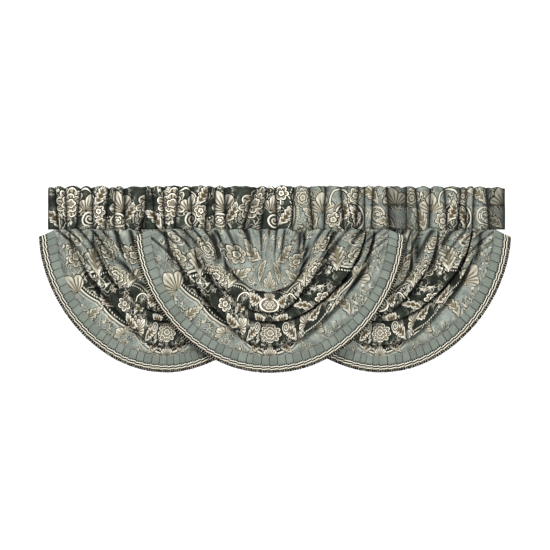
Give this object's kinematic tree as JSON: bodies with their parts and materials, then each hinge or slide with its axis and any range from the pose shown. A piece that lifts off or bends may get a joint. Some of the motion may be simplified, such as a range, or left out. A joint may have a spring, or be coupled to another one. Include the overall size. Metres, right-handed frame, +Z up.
{
  "type": "waterfall swag valance set",
  "caption": "Overlapping waterfall swag valances in damask jacquard, each with a gathered rod-pocket heading, nested bow folds and a knife-pleated frill edged with braid.",
  "frame": {"origin": "middle of the top edge of the middle valance, in the plane of its header", "axes": "+X to the right of someone who faces the drape, +Y back towards the window, +Z up"},
  "size_m": [2.133, 0.1154, 0.8463],
  "materials": {
    "heading_damask": "woven jacquard",
    "damask": "woven jacquard",
    "ribbon": "ribbed weave with a low sheen",
    "gimp": "striped braid with a short brush edge"
  },
  "bodies": {
    "root": {"heading_left": "heading_damask", "heading_middle": "heading_damask", "heading_right": "heading_damask", "swag_left": "damask", "swag_middle": "damask", "swag_right": "damask", "frill_left": "ribbon", "frill_middle": "ribbon", "frill_right": "ribbon", "braid_left": "gimp", "braid_middle": "gimp", "braid_right": "gimp"}
  },
  "joints": []
}
